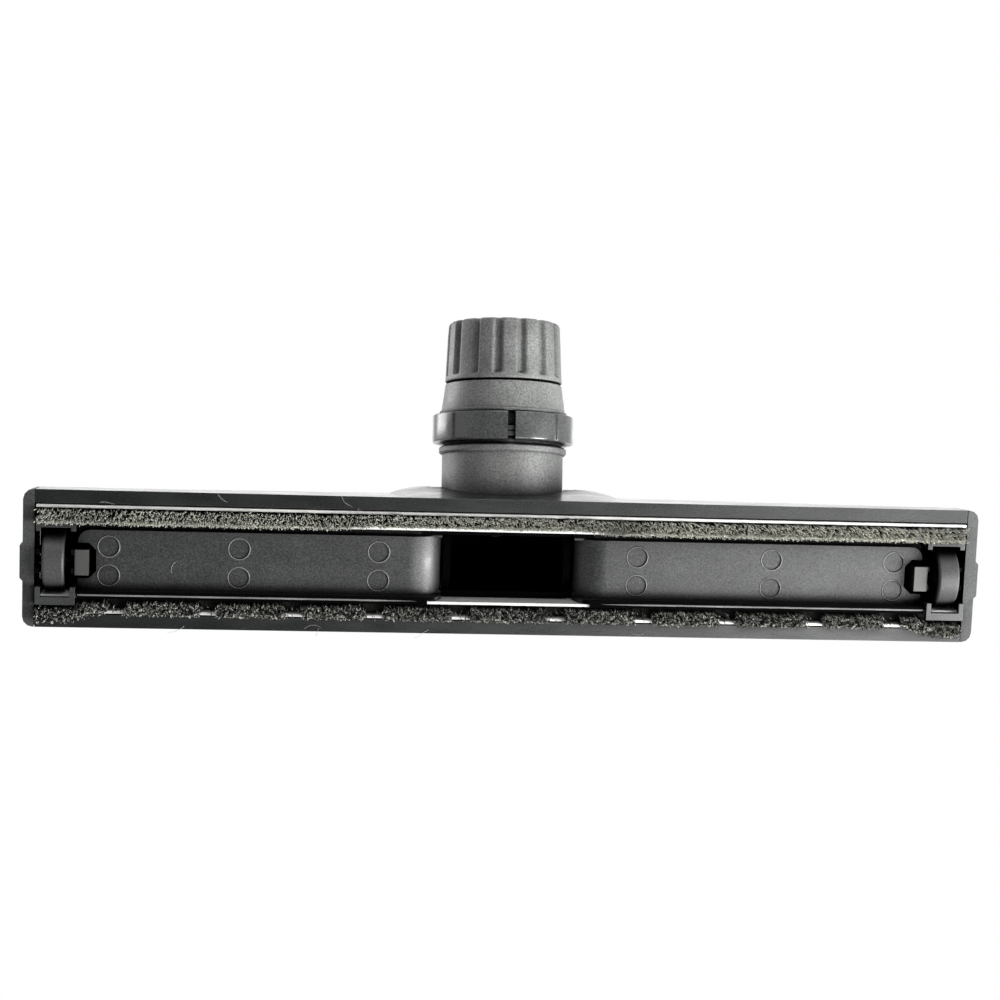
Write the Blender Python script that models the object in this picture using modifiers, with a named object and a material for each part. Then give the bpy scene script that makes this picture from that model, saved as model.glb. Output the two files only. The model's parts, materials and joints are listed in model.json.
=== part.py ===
"""Floor tool of a commercial wet and dry vacuum cleaner, standing on its sole.

Metres, +Z up, the floor at z = 0. X runs along the tool, the front is -Y and the neck leans to the rear, +Y.
The left side is +X, as seen by someone who stands behind the tool and pushes it.
"""

import math
import random

import bmesh
import bpy
from mathutils import Matrix, Vector

# Gaps between pieces
GAP = 0.0003
RUNNING_GAP = 0.0004

# Wheels and their axles
WHEEL_RADIUS = 0.0125
WHEEL_WIDTH = 0.009
WHEEL_HUB_RADIUS = 0.0045
WHEEL_RIM = 0.0022
WHEEL_DISH = 0.0012
WHEEL_ROOM = 0.0008
WHEEL_END_DISTANCE = 0.0075
AXLE_RADIUS = 0.0016

# Brush rails, a pair of aluminium U sections
RAIL_WIDTH = 0.0076
RAIL_HEIGHT = 0.012
RAIL_SHEET = 0.0013
RAIL_EDGE = 0.0045
RAIL_END_DISTANCE = 0.0003
RAIL_SIDE_GAP = 0.0006

# Brush strips
BACKING_HEIGHT = 0.0058
STRAND_ROOT = 0.0011
STRAND_TIP = 0.0008
STRAND_PITCH = 0.0039
STRAND_ROW_STEP = 0.0024
STRAND_LEAN = 0.00035
STRAND_ROOT_DEPTH = 0.0006
BRUSH_GAP_PITCH = 0.03627
BRUSH_GAP_WIDTH = 0.0078

# Housing
HOUSING_LENGTH = 0.390
RIM_HEIGHT = 0.005
RIM_WIDTH = 0.005
ROOF_SHEET = 0.003
ARCH_RISE = 0.018
SIDE_LEAN = math.radians(4.6)
ROOF_ROUNDING = 0.006
LEDGE_WIDTH = 0.004
SILL_SHEET = 0.0016
CROSS_RIB = 0.002
CROSS_RIB_PITCH = 0.060
CROSS_RIBS_EACH_SIDE = 2
CHEEK_WIDTH = 0.013
DOME_SHEET = 0.0029
SLOT_FRONT_RISE = 0.010
FAIRING_LENGTH = 0.022
FAIRING_SIDE_DROP = 0.22
FAIRING_TOP_DROP = 0.58
FAIRING_STEPS = 5

# Sole plate between the rails
PANEL_HEIGHT = 0.0105
PANEL_STEP = 0.003
PANEL_SHEET = 0.003
PANEL_CORNER = 0.005
FRONT_RIB = 0.0012
FRONT_RIB_HEIGHT = 0.0034
RIB_END_REACH = 0.0065
REAR_GUTTER = 0.0031
SOLE_SIDE_GAP = 0.0004
MOUTH_ROOM = 0.0015
MOUTH_WALL = 0.0034
SHOULDER_RISE = 0.010
SHOULDER_REACH = 0.014
MOUTH_WALL_HEIGHT = 0.010
MOUTH_BAR_HEIGHT = 0.0026
MOUTH_BAR_WIDTH = 0.0024
MARK_RADIUS = 0.00445
MARK_DEPTH = 0.0004
MARK_SPACING = 0.0121
MARK_END_DISTANCE = 0.0125
MARK_MOUTH_DISTANCE = 0.0268
MARK_MIDDLE_SHARE = 0.52
NOTCH_WIDTH = 0.0148
NOTCH_CHAMFER = 0.003
NOTCH_ROOM = 0.0027

# Wheel brackets
BRACKET_LENGTH = 0.0161
BRACKET_POST = 0.002
BRACKET_SHEET = 0.0011
BRACKET_SIDE_GAP = 0.0005
BRACKET_REAR_BAR = 0.0015
BRACKET_REAR_BAR_HEIGHT = 0.0032
BRACKET_FOOT_HEIGHT = 0.0048
BRACKET_POST_DEPTH = 0.003
FRONT_BAR_DEPTH = 0.0032
FRONT_BAR_HEIGHT = 0.0026
AXLE_BLOCK_WIDTH = 0.0106
AXLE_BLOCK_LENGTH = 0.0052
AXLE_BLOCK_HEIGHT = 0.005
TOOTH_WIDTH = 0.0022
TOOTH_LENGTH = 0.002
TOOTH_SPACING = 0.0078
TOOTH_DEPTH = 0.0055

# End caps
CAP_THICKNESS = 0.0047
CAP_ROUNDING = 0.0042
BUMP_WIDTH = 0.016
BUMP_HEIGHT = 0.016
BUMP_THICKNESS = 0.0012
AXLE_CAP_DEPTH = 0.0032

# Pivot drum and neck
NECK_REST_ANGLE = math.radians(11)
NECK_SILL_GAP = 0.0005
DRUM_SHEET = 0.0025
DRUM_GAP = 0.0006
DRUM_END_GAP = 0.0008
WINDOW_START = math.radians(154)
WINDOW_END = math.radians(287)
TRUNNION_RADIUS = 0.006
BUSH_SHEET = 0.003
BUSH_LENGTH = 0.0093
BUSH_FLANGE_RADIUS = 0.014
NECK_SHEET = 0.0038
NECK_START = 0.006
NECK_START_STEP = 0.0043
NECK_SHOULDER = 0.012
NECK_BEAD_START = 0.0427
NECK_BEAD_LENGTH = 0.0032
BEAD_STAND = 0.0014
GROOVE_DEPTH = 0.0007
SWIVEL_START = 0.0475
FLANGE_SHEET = 0.002
FLANGE_DEPTH = 0.0024
SPIGOT_ROOM = 0.0007
SPIGOT_SHEET = 0.002
SPIGOT_LENGTH = 0.0075
SEAL_START_DISTANCE = 0.002
SEAL_LENGTH = 0.0045
SEAL_SHEET = 0.0018

# Split clip ring
CLIP_SHEET = 0.0023
CLIP_LENGTH = 0.012
CLIP_LIP = 0.0011
CLIP_ROUNDING = 0.0008
CLIP_SLOT = 0.0034
CLIP_SLOT_ANGLE = math.radians(1)

# Swivel sleeve
SLEEVE_SHEET = 0.0028
SLEEVE_NECK_STEP = 0.0006
SLEEVE_BEAD_LENGTH = 0.0016
SLEEVE_BEAD_STAND = 0.0008
CONE_LENGTH = 0.0116
CONE_END_STEP = 0.0001
THREAD_SHEET = 0.0033
THREAD_LENGTH = 0.0191
SOCKET_RADIUS = 0.0183
TUBE_STOP_STEP = 0.0013
TUBE_STOP_LENGTH = 0.0024

# Clamp nut and collet
NUT_GAP = 0.001
NUT_SHEET = 0.0035
NUT_TAPER = 0.0011
NUT_ROUNDING = 0.0022
NUT_BEAD_LENGTH = 0.0022
NUT_LIP = 0.0014
NUT_GRIPS = 15
NUT_GROOVE_DEPTH = 0.0013
NUT_GROOVE_SHARE = 0.52
NUT_TURN = math.radians(3)
COLLET_LENGTH = 0.0058
COLLET_SHEET = 0.003
COLLET_END_SHEET = 0.0013
COLLET_SLIT = 0.0016

# Facets round a full turn
RING_FACETS = 40
PIN_FACETS = 16
MARK_FACETS = 14
ARC_FACETS = 18
ROLL_FACETS = 6

# How far a cutter reaches past what it cuts, and a joined shape sinks into its neighbour
REACH = 0.004
SINK = 0.0005

# The channel between the rails is offset a little to the front
CHANNEL_MIDDLE = -0.0015

# Radii of the neck, from the tube socket outward
thread_radius = SOCKET_RADIUS + THREAD_SHEET
tube_stop_radius = SOCKET_RADIUS - TUBE_STOP_STEP
nut_radius = thread_radius + GAP + NUT_SHEET
nut_end_radius = nut_radius - NUT_TAPER
cone_end_radius = nut_radius - CONE_END_STEP
spigot_bore_radius = SOCKET_RADIUS + SPIGOT_ROOM
spigot_radius = spigot_bore_radius + SPIGOT_SHEET
seal_room = spigot_radius + GAP + SEAL_SHEET + GAP
sleeve_neck_radius = seal_room + SLEEVE_SHEET
groove_radius = sleeve_neck_radius - SLEEVE_NECK_STEP
neck_radius = groove_radius + GROOVE_DEPTH
bead_radius = neck_radius + BEAD_STAND
flange_radius = groove_radius + FLANGE_DEPTH
clip_radius = flange_radius + RUNNING_GAP + CLIP_SHEET
neck_bore_radius = neck_radius - NECK_SHEET
neck_start_radius = neck_radius - NECK_START_STEP
drum_radius = neck_bore_radius + DRUM_SHEET
drum_room = drum_radius + DRUM_GAP
dome_radius = drum_room + DOME_SHEET

# The body across, from the wheels outward, and its heights from the floor up
half_channel = WHEEL_RADIUS + abs(CHANNEL_MIDDLE) + WHEEL_ROOM
rail_outer = half_channel + RAIL_WIDTH
rail_middle = half_channel + RAIL_WIDTH / 2
rail_top = RAIL_EDGE + RAIL_HEIGHT
rim_inner = rail_outer + RAIL_SIDE_GAP
half_depth = max(rim_inner + RIM_WIDTH, dome_radius)
half_length = HOUSING_LENGTH / 2
ledge_inner = rim_inner - LEDGE_WIDTH
axle_height = WHEEL_RADIUS
bracket_top = 2 * WHEEL_RADIUS + WHEEL_ROOM + BRACKET_SHEET
roof_height = bracket_top + GAP
end_top = roof_height + ROOF_SHEET

sheet_bottom = PANEL_HEIGHT + PANEL_STEP
sheet_top = sheet_bottom + PANEL_SHEET
ledge_height = max(rail_top, sheet_top) + GAP
sill_top = ledge_height + SILL_SHEET
half_sole = half_channel - SOLE_SIDE_GAP
half_mouth = neck_radius + MOUTH_ROOM
rib_start = half_mouth + RIB_END_REACH
mouth_bar_top = sheet_top + MOUTH_BAR_HEIGHT
mouth_bar_inner = half_sole - MOUTH_BAR_WIDTH

bracket_outer = half_length - GAP
bracket_inner = bracket_outer - BRACKET_LENGTH
block_inner = bracket_inner - AXLE_BLOCK_LENGTH
sole_end = bracket_inner - SOLE_SIDE_GAP
half_bracket = half_channel - BRACKET_SIDE_GAP
wheel_middle = half_length - WHEEL_END_DISTANCE
cap_inner = half_length + GAP
cap_outer = cap_inner + CAP_THICKNESS
rail_half_length = half_length - RAIL_END_DISTANCE

half_drum = half_mouth - DRUM_END_GAP
half_slot = half_mouth + MOUTH_WALL + GAP
dome_end = half_slot + CHEEK_WIDTH
fairing_foot = sill_top + SILL_SHEET
bush_radius = TRUNNION_RADIUS + RUNNING_GAP + BUSH_SHEET
bush_end = half_slot + BUSH_LENGTH
pivot_over_sill = (
    sill_top
    + NECK_SILL_GAP
    + neck_radius / math.cos(NECK_REST_ANGLE)
    - ledge_inner * math.tan(NECK_REST_ANGLE)
)
pivot_over_mouth = mouth_bar_top + GAP + math.sqrt(max(drum_room**2 - mouth_bar_inner**2, 0))
pivot_height = max(pivot_over_sill, pivot_over_mouth)

flange_start = SWIVEL_START + CLIP_LIP + RUNNING_GAP
flange_end = flange_start + FLANGE_SHEET
sleeve_start = flange_end + RUNNING_GAP
sleeve_flange_end = sleeve_start + FLANGE_SHEET
clip_end = SWIVEL_START + CLIP_LENGTH
cone_start = clip_end + GAP + SLEEVE_BEAD_LENGTH
cone_end = cone_start + CONE_LENGTH
thread_end = cone_end + THREAD_LENGTH
spigot_end = flange_end + SPIGOT_LENGTH
seal_start = flange_end + SEAL_START_DISTANCE
nut_start = cone_end + NUT_GAP
collet_start = thread_end + RUNNING_GAP
collet_end = collet_start + COLLET_LENGTH
nut_seat = collet_end + RUNNING_GAP
nut_end = nut_seat + NUT_LIP
collet_radius = SOCKET_RADIUS + COLLET_SHEET
collet_end_radius = SOCKET_RADIUS + COLLET_END_SHEET

parts = bpy.data.collections.new("vacuum_floor_tool")
cutters = bpy.data.collections.new("cutters")


def clear_scene():
    for obj in list(bpy.data.objects):
        bpy.data.objects.remove(obj, do_unlink=True)
    for group in (parts, cutters):
        bpy.context.scene.collection.children.link(group)
    cutters.hide_render = True


def finish_of(name, colour, roughness, metallic=0.0):
    material = bpy.data.materials.new(name)
    material.use_nodes = True
    shader = material.node_tree.nodes["Principled BSDF"]
    shader.inputs["Base Color"].default_value = (*colour, 1)
    shader.inputs["Roughness"].default_value = roughness
    shader.inputs["Metallic"].default_value = metallic
    return material


def piece(name, mesh, finish):
    """A visible sub-part. Without a finish it is a cutter, or a shape that another part takes in."""
    obj = bpy.data.objects.new(name, mesh)
    if finish:
        mesh.materials.append(finish)
        parts.objects.link(obj)
    else:
        cutters.objects.link(obj)
        obj.hide_render = True
        obj.display_type = "WIRE"
    return obj


def mesh_of(name, shape):
    mesh = bpy.data.meshes.new(name)
    bmesh.ops.recalc_face_normals(shape, faces=shape.faces[:])
    shape.to_mesh(mesh)
    shape.free()
    return mesh


def add_box(shape, low, high):
    size = Vector(high) - Vector(low)
    middle = (Vector(high) + Vector(low)) / 2
    place = Matrix.Translation(middle) @ Matrix.Diagonal((*size, 1))
    bmesh.ops.create_cube(shape, size=1, matrix=place)


def box(name, low, high, finish=None):
    shape = bmesh.new()
    add_box(shape, low, high)
    return piece(name, mesh_of(name, shape), finish)


def add_rod(shape, radius, start, end, facets, end_radius=None):
    """A round rod, or a cone, between two points."""
    start, end = Vector(start), Vector(end)
    run = end - start
    place = Matrix.Translation((start + end) / 2) @ run.to_track_quat("Z", "Y").to_matrix().to_4x4()
    bmesh.ops.create_cone(
        shape,
        cap_ends=True,
        segments=facets,
        radius1=radius,
        radius2=radius if end_radius is None else end_radius,
        depth=run.length,
        matrix=place,
    )


def rod(name, radius, start, end, facets, finish=None):
    shape = bmesh.new()
    add_rod(shape, radius, start, end, facets)
    return piece(name, mesh_of(name, shape), finish)


def prism(name, outline, start, run, finish=None):
    """A flat outline, as points in space, carried along a straight run."""
    shape = bmesh.new()
    face = shape.faces.new([shape.verts.new(Vector(start) + Vector(point)) for point in outline])
    swept = bmesh.ops.extrude_face_region(shape, geom=[face])["geom"]
    corners = [item for item in swept if isinstance(item, bmesh.types.BMVert)]
    bmesh.ops.translate(shape, verts=corners, vec=Vector(run))
    return piece(name, mesh_of(name, shape), finish)


def turned(name, profile, finish=None):
    """A ring round the local Z axis. The profile holds (radius, height) and runs down its outer side."""
    mesh = bpy.data.meshes.new(name)
    points = [(radius, 0, height) for radius, height in profile]
    count = len(points)
    mesh.from_pydata(points, [(i, (i + 1) % count) for i in range(count)], [])
    obj = piece(name, mesh, finish)
    screw = obj.modifiers.new("turn", "SCREW")
    screw.axis = "Z"
    screw.steps = RING_FACETS
    screw.render_steps = RING_FACETS
    screw.use_merge_vertices = True
    screw.merge_threshold = 0.00001
    return obj


def combine(obj, other, operation):
    change = obj.modifiers.new(f"{operation.lower()}_{other.name}"[:60], "BOOLEAN")
    change.operation = operation
    change.object = other
    change.solver = "EXACT"


def cut(obj, *others):
    for other in others:
        combine(obj, other, "DIFFERENCE")


def join(obj, *others):
    for other in others:
        combine(obj, other, "UNION")


def round_edges(obj, width, segments):
    """Rounds the edges that carry a bevel weight."""
    bevel = obj.modifiers.new("round", "BEVEL")
    bevel.width = width
    bevel.segments = segments
    bevel.limit_method = "WEIGHT"


def arc(middle, radius, first, last, steps):
    turns = [first + (last - first) * i / steps for i in range(steps + 1)]
    return [(middle[0] + radius * math.cos(turn), middle[1] + radius * math.sin(turn)) for turn in turns]


def arch_outline(radius, middle, foot):
    """A half round on two legs, in the YZ plane."""
    crown = arc((0, middle), radius, 0, math.pi, ARC_FACETS)
    return [(0, y, z) for y, z in crown + [(-radius, foot), (radius, foot)]]


def roof_at(x):
    """Height of the housing's roof, low at the ends and risen at the middle."""
    share = min(abs(x) / half_length, 1)
    return end_top + ARCH_RISE * (0.5 + 0.5 * math.cos(math.pi * share))


def arched_block(name, length, depth, base, lower_roof, spans, rounding, finish=None):
    """A long block under the arched roof whose front and rear sides lean inward."""
    shape = bmesh.new()
    bmesh.ops.create_cube(shape, size=2)
    long_edges = [edge for edge in shape.edges if abs(edge.verts[0].co.x - edge.verts[1].co.x) > 1]
    bmesh.ops.subdivide_edges(shape, edges=long_edges, cuts=spans - 1, use_grid_fill=True)
    weight = shape.edges.layers.float.new("bevel_weight_edge")
    for edge in shape.edges:
        along = abs(edge.verts[0].co.x - edge.verts[1].co.x) > 0.01
        on_top = all(vert.co.z > 0.9 and abs(vert.co.y) > 0.9 for vert in edge.verts)
        edge[weight] = 1.0 if along and on_top else 0.0
    for vert in shape.verts:
        x = vert.co.x * length
        z = roof_at(x) - lower_roof if vert.co.z > 0 else base
        y = vert.co.y * (depth - (z - base) * math.tan(SIDE_LEAN))
        vert.co = (x, y, z)
    obj = piece(name, mesh_of(name, shape), finish)
    if rounding:
        round_edges(obj, rounding, 3)
    return obj


def mirrored_box(name, side, x, y, z):
    """A box whose X limits are given for the left side."""
    x = sorted(side * limit for limit in x)
    return box(name, (x[0], y[0], z[0]), (x[1], y[1], z[1]))


def make_fairing():
    """The hump over the drum: straight across the slot, then falling to the roof in a round curve at each end."""
    steps = [step / FAIRING_STEPS for step in range(FAIRING_STEPS + 1)]
    falls = [(half_slot + FAIRING_LENGTH * share, 1 - math.sqrt(1 - share**2)) for share in steps]
    stations = [(-x, fall) for x, fall in reversed(falls)] + falls
    outline = arch_outline(dome_radius, pivot_height, fairing_foot)
    shape = bmesh.new()
    rings = []
    for x, fall in stations:
        side = 1 - FAIRING_SIDE_DROP * fall
        top = 1 - FAIRING_TOP_DROP * fall
        points = [(x, y * side, fairing_foot + (z - fairing_foot) * top) for _, y, z in outline]
        rings.append([shape.verts.new(point) for point in points])
    for near, far in zip(rings, rings[1:]):
        for i in range(len(near)):
            shape.faces.new((near[i - 1], near[i], far[i], far[i - 1]))
    shape.faces.new(rings[0])
    shape.faces.new(rings[-1])
    return piece("dome", mesh_of("dome", shape), None)


def make_housing(finish):
    housing = arched_block("housing", half_length, half_depth, RIM_HEIGHT, 0, 16, ROOF_ROUNDING, finish)
    dome = make_fairing()
    end = half_length + REACH
    lower_room = box("lower_room", (-end, -rim_inner, -REACH), (end, rim_inner, ledge_height))
    upper_room = arched_block("upper_room", end, ledge_inner, ledge_height - SINK, ROOF_SHEET, 16, 0)
    join(housing, dome)
    cut(housing, lower_room, upper_room)
    for side in (-1, 1):
        for number in range(1, CROSS_RIBS_EACH_SIDE + 1):
            x = side * (dome_end + number * CROSS_RIB_PITCH - CROSS_RIB_PITCH / 2)
            rib = box(
                f"cross_rib_{side}_{number}",
                (x - CROSS_RIB / 2, -ledge_inner - SINK, ledge_height),
                (x + CROSS_RIB / 2, ledge_inner + SINK, roof_at(x) - ROOF_SHEET / 2),
            )
            join(housing, rib)
        inner, outer = sorted((side * half_slot, side * dome_end))
        cheek = box(
            f"cheek_{side}",
            (inner, -ledge_inner - SINK, ledge_height),
            (outer, ledge_inner + SINK, pivot_height + drum_room / 2),
        )
        join(housing, cheek)
    bed = rod("drum_bed", drum_room, (-half_slot, 0, pivot_height), (half_slot, 0, pivot_height), RING_FACETS)
    far = 2 * dome_radius
    front_edge = pivot_height + SLOT_FRONT_RISE
    high = pivot_height + far
    opening = ((far, sill_top), (far, high), (-far, high), (-far, front_edge), (0, front_edge), (0, sill_top))
    slot = prism(
        "neck_slot",
        [(0, y, z) for y, z in opening],
        (-half_slot, 0, 0),
        (2 * half_slot, 0, 0),
    )
    seat = arch_outline(bush_radius + GAP, pivot_height, ledge_height - REACH)
    bush_reach = bush_end + GAP
    bush_slot = prism("bush_slot", seat, (-bush_reach, 0, 0), (2 * bush_reach, 0, 0))
    cut(housing, bed, slot, bush_slot)
    collar_low = (-half_slot - SINK, drum_room + GAP, sill_top - SINK)
    collar = box("neck_collar", collar_low, (half_slot + SINK, half_depth, pivot_height))
    room = (neck_radius + NECK_SILL_GAP) / math.cos(math.pi / RING_FACETS)
    pivot = Vector((0, 0, pivot_height))
    along = Vector((0, math.cos(NECK_REST_ANGLE), math.sin(NECK_REST_ANGLE)))
    cut(collar, rod("collar_room", room, pivot, pivot + along * far, RING_FACETS))
    join(housing, collar)


def rolled_shoulder():
    """Half outline, in X and Z, of the edge that rolls up from the panel into the mouth."""
    outer = half_mouth + SHOULDER_REACH
    turn = arc((0, 0), 1, 1.5 * math.pi, math.pi, ROLL_FACETS)
    roll = [(outer + SHOULDER_REACH * x, PANEL_HEIGHT + SHOULDER_RISE * (1 + z)) for x, z in turn]
    wall_top = sheet_top + MOUTH_WALL_HEIGHT
    wall_outer = half_slot - GAP
    return roll + [
        (half_mouth, wall_top),
        (wall_outer, wall_top),
        (wall_outer, sheet_top),
        (outer, sheet_top),
    ]


def rib_outline():
    """Half outline of the low rib beside the front rail, with its end rolled up at the mouth."""
    rib_top = sheet_bottom + SINK
    turn = arc((0, 0), 1, 1.5 * math.pi, math.pi, ROLL_FACETS)
    reach = rib_start - half_mouth
    curve = [(rib_start + reach * x, rib_top + (rib_top - FRONT_RIB_HEIGHT) * z) for x, z in turn]
    return [(sole_end, FRONT_RIB_HEIGHT)] + curve + [(sole_end, rib_top)]


def panel_outline(side):
    """The lower step of the plate on one side of the mouth, in X and Y, with its rear outer corner rounded."""
    front = -half_sole + FRONT_RIB
    rear = half_sole - REAR_GUTTER
    inner = half_mouth + SHOULDER_REACH - SINK
    corner = arc((sole_end - PANEL_CORNER, rear - PANEL_CORNER), PANEL_CORNER, 0, math.pi / 2, ROLL_FACETS)
    outline = [(inner, front - SINK), (sole_end, front - SINK)] + corner + [(inner, rear)]
    return [(side * x, y, 0) for x, y in outline]


def notch_outline(side):
    """The cut at the plate's end round the axle block, with its inner corners cut off."""
    inner = block_inner - NOTCH_ROOM
    half = NOTCH_WIDTH / 2
    outline = (
        (sole_end + REACH, half),
        (inner + NOTCH_CHAMFER, half),
        (inner, half - NOTCH_CHAMFER),
        (inner, NOTCH_CHAMFER - half),
        (inner + NOTCH_CHAMFER, -half),
        (sole_end + REACH, -half),
    )
    return [(side * x, CHANNEL_MIDDLE + y, 0) for x, y in outline]


def mould_marks():
    """Round ejector marks in pairs along the plate, as one cutter."""
    near = half_mouth + MARK_MOUTH_DISTANCE
    far = sole_end - MARK_END_DISTANCE
    shape = bmesh.new()
    for x in (near, near + (far - near) * MARK_MIDDLE_SHARE, far):
        for side in (-1, 1):
            for row in (-0.5, 0.5):
                y = CHANNEL_MIDDLE + row * MARK_SPACING
                low = (side * x, y, PANEL_HEIGHT - REACH)
                add_rod(shape, MARK_RADIUS, low, (side * x, y, PANEL_HEIGHT + MARK_DEPTH), MARK_FACETS)
    return piece("mould_marks", mesh_of("mould_marks", shape), None)


def make_sole_plate(finish):
    low = (-sole_end, -half_sole, sheet_bottom)
    plate = box("sole_plate", low, (sole_end, half_sole, sheet_top), finish)
    reach = half_slot - GAP
    front = -half_sole + FRONT_RIB
    rear = half_sole - REAR_GUTTER
    above = sheet_top + REACH
    roll_room = half_mouth + SHOULDER_REACH / 2
    cut(
        plate,
        box("mouth", (-half_mouth, -half_depth, 0), (half_mouth, half_depth, above)),
        box("roll_room", (-roll_room, front, 0), (roll_room, rear - SINK, above)),
    )
    for edge in (-1, 1):
        y = sorted((edge * mouth_bar_inner, edge * half_sole))
        bar_low = (-reach, y[0], sheet_top - 2 * SINK)
        join(plate, box(f"mouth_bar_{edge}", bar_low, (reach, y[1], mouth_bar_top)))
    for side in (-1, 1):
        step = (0, 0, PANEL_STEP + SINK)
        panel = prism(f"panel_{side}", panel_outline(side), (0, 0, PANEL_HEIGHT), step)
        shoulder = prism(
            f"shoulder_{side}",
            [(side * x, 0, z) for x, z in rolled_shoulder()],
            (0, front - SINK, 0),
            (0, rear - front + SINK, 0),
        )
        rib = prism(
            f"front_rib_{side}",
            [(side * x, 0, z) for x, z in rib_outline()],
            (0, -half_sole, 0),
            (0, FRONT_RIB, 0),
        )
        lip = mirrored_box(
            f"rib_lip_{side}",
            side,
            (rib_start, sole_end),
            (-half_channel - RAIL_SHEET, -half_sole + SINK),
            (FRONT_RIB_HEIGHT, RAIL_EDGE - GAP),
        )
        x = sorted((side * (half_slot + GAP), side * bush_end))
        post_low = (x[0], -bush_radius + SINK, sheet_top - SINK)
        post = box(f"saddle_{side}", post_low, (x[1], bush_radius - SINK, pivot_height - bush_radius / 2))
        notch = prism(f"notch_{side}", notch_outline(side), (0, 0, 0), (0, 0, pivot_height))
        join(plate, panel, shoulder, rib, lip, post)
        cut(plate, notch)
    turn = bush_radius + GAP
    saddle = rod("saddle_cut", turn, (-dome_end, 0, pivot_height), (dome_end, 0, pivot_height), RING_FACETS)
    bed = rod("mouth_bed", drum_room, (-half_mouth, 0, pivot_height), (half_mouth, 0, pivot_height), RING_FACETS)
    cut(plate, saddle, bed, mould_marks())


def make_rail(name, side, finish):
    """An upside-down U section. The front rail has side -1."""
    outer, inner = rail_outer, half_channel
    web = rail_top - RAIL_SHEET
    outline = (
        (inner, RAIL_EDGE),
        (inner + RAIL_SHEET, RAIL_EDGE),
        (inner + RAIL_SHEET, web),
        (outer - RAIL_SHEET, web),
        (outer - RAIL_SHEET, RAIL_EDGE),
        (outer, RAIL_EDGE),
        (outer, rail_top),
        (inner, rail_top),
    )
    points = [(0, side * y, z) for y, z in outline]
    prism(name, points, (-rail_half_length, 0, 0), (2 * rail_half_length, 0, 0), finish)


def in_brush_gap(x):
    """True where the front brush is cut away."""
    number = math.floor(x / BRUSH_GAP_PITCH)
    from_middle = abs(x - (number + 0.5) * BRUSH_GAP_PITCH)
    gap_reach = (number + 0.5) * BRUSH_GAP_PITCH
    return from_middle < BRUSH_GAP_WIDTH / 2 and abs(gap_reach) < bracket_inner


def make_brush(name, side, finish):
    """A strip of strands on a backing. Two rows, and one outer row beside the front bars of the brackets."""
    width = RAIL_WIDTH / 2 - RAIL_SHEET - GAP
    top = rail_top - RAIL_SHEET - GAP
    bottom = top - BACKING_HEIGHT
    middle = side * rail_middle
    low = (-rail_half_length, middle - width, bottom)
    brush = box(name, low, (rail_half_length, middle + width, top), finish)
    chance = random.Random(len(name))
    shape = bmesh.new()
    columns = int((rail_half_length - STRAND_ROOT) / STRAND_PITCH)
    for row in (-0.5, 0.5):
        for column in range(-columns, columns + 1):
            x = (column + row / 2) * STRAND_PITCH
            lean = Vector((chance.uniform(-1, 1), chance.uniform(-0.5, 0.5), 0)) * STRAND_LEAN
            y = middle + row * STRAND_ROW_STEP
            beside_bar = side < 0 and abs(x) > bracket_inner - STRAND_PITCH / 2
            if beside_bar:
                y = middle - width + STRAND_ROOT / 2 + STRAND_LEAN
            if abs(x) > rail_half_length - STRAND_ROOT:
                continue
            if beside_bar and row > 0 or side < 0 and in_brush_gap(x):
                continue
            root = Vector((x, y, bottom + STRAND_ROOT_DEPTH))
            add_rod(shape, STRAND_ROOT, root, Vector((x, y, 0)) + lean, 3, STRAND_TIP)
    strands = piece(f"{name}_strands", mesh_of(f"{name}_strands", shape), None)
    join(brush, strands)
    floor_cut = box(f"{name}_floor", (-half_length, -half_depth, -REACH), (half_length, half_depth, 0))
    cut(brush, floor_cut)


def make_wheel(name, side, finish):
    """A wheel with dished sides, turned about its own axle."""
    half = WHEEL_WIDTH / 2
    rim = WHEEL_RADIUS - WHEEL_RIM
    bevel = WHEEL_RIM / 3
    web = half - WHEEL_DISH
    bore = AXLE_RADIUS + RUNNING_GAP
    outer = [(WHEEL_RADIUS - bevel, half), (WHEEL_RADIUS, half - bevel)]
    outer += [(radius, -height) for radius, height in reversed(outer)]
    dish = [(rim, half), (rim, web), (WHEEL_HUB_RADIUS, web), (WHEEL_HUB_RADIUS, half), (bore, half)]
    lower_dish = [(radius, -height) for radius, height in dish]
    wheel = turned(name, outer + lower_dish + dish[::-1], finish)
    wheel.location = (side * wheel_middle, CHANNEL_MIDDLE, axle_height)
    wheel.rotation_euler = (0, math.pi / 2, 0)


def make_axle(name, side, finish):
    inner = side * (block_inner + AXLE_BLOCK_LENGTH / 3)
    outer = side * (cap_inner + AXLE_CAP_DEPTH)
    start = (inner, CHANNEL_MIDDLE, axle_height)
    rod(name, AXLE_RADIUS, start, (outer, CHANNEL_MIDDLE, axle_height), PIN_FACETS, finish)


def tooth_boxes(name, side, x):
    """Two teeth that stand on either side of the axle."""
    for place in (-1, 1):
        middle = CHANNEL_MIDDLE + place * TOOTH_SPACING / 2
        y = (middle - TOOTH_WIDTH / 2, middle + TOOTH_WIDTH / 2)
        z = (axle_height - TOOTH_DEPTH, axle_height + TOOTH_DEPTH)
        yield mirrored_box(f"{name}_tooth_{place}", side, x, y, z)


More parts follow.
